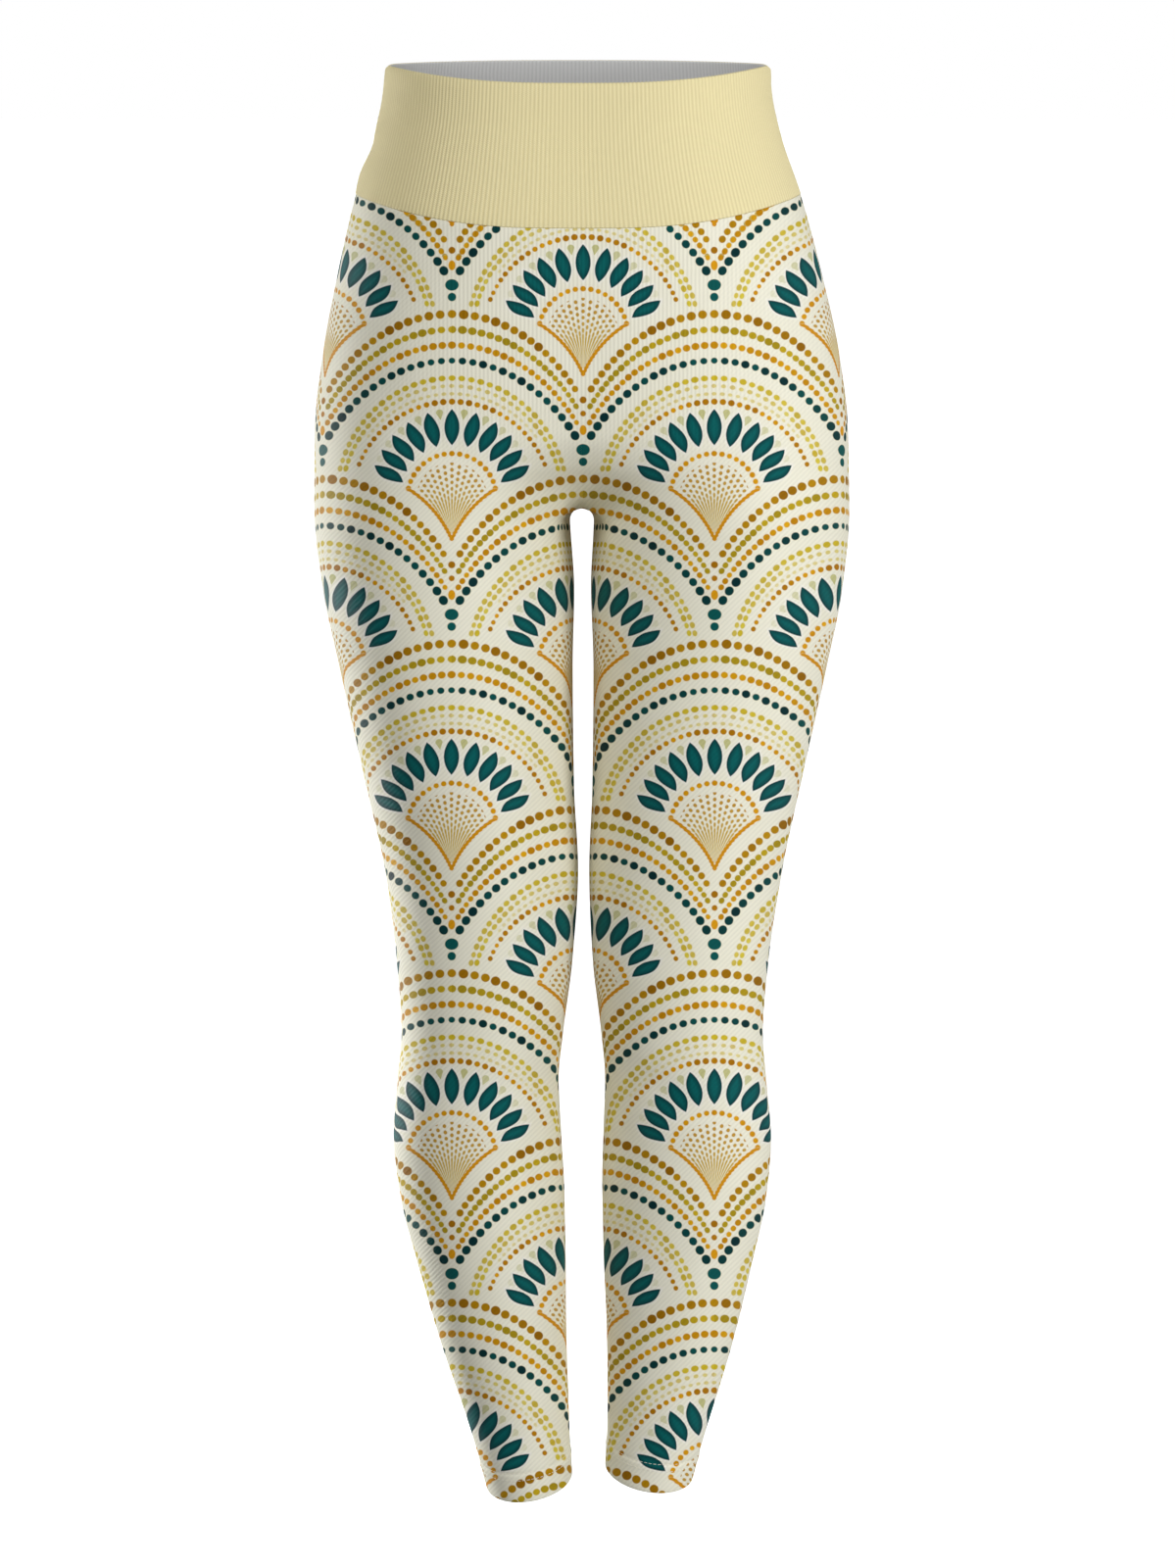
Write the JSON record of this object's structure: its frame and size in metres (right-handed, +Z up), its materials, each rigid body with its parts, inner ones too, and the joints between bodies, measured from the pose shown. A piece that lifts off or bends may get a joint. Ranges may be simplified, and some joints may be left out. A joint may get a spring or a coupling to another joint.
{
  "type": "leggings",
  "caption": "High-waisted full-length leggings in their filled-out form, hollow, with a deep rib-knit waistband and turned hems.",
  "frame": {"origin": "middle of the waist opening, at the height of the waist edge at the sides, where the wearer's waist holds the garment", "axes": "+Z up, along the legs' length; front of the garment towards -Y; the wearer's left towards +X"},
  "size_m": [0.3536, 0.2378, 0.9598],
  "materials": {
    "rib_knit": "matte rib knit, butter yellow",
    "printed_knit": "smooth matte stretch knit, cream ground with a dotted scallop print"
  },
  "bodies": {
    "root": {"waistband": "rib_knit", "leg_left": "printed_knit", "leg_right": "printed_knit"}
  },
  "joints": []
}
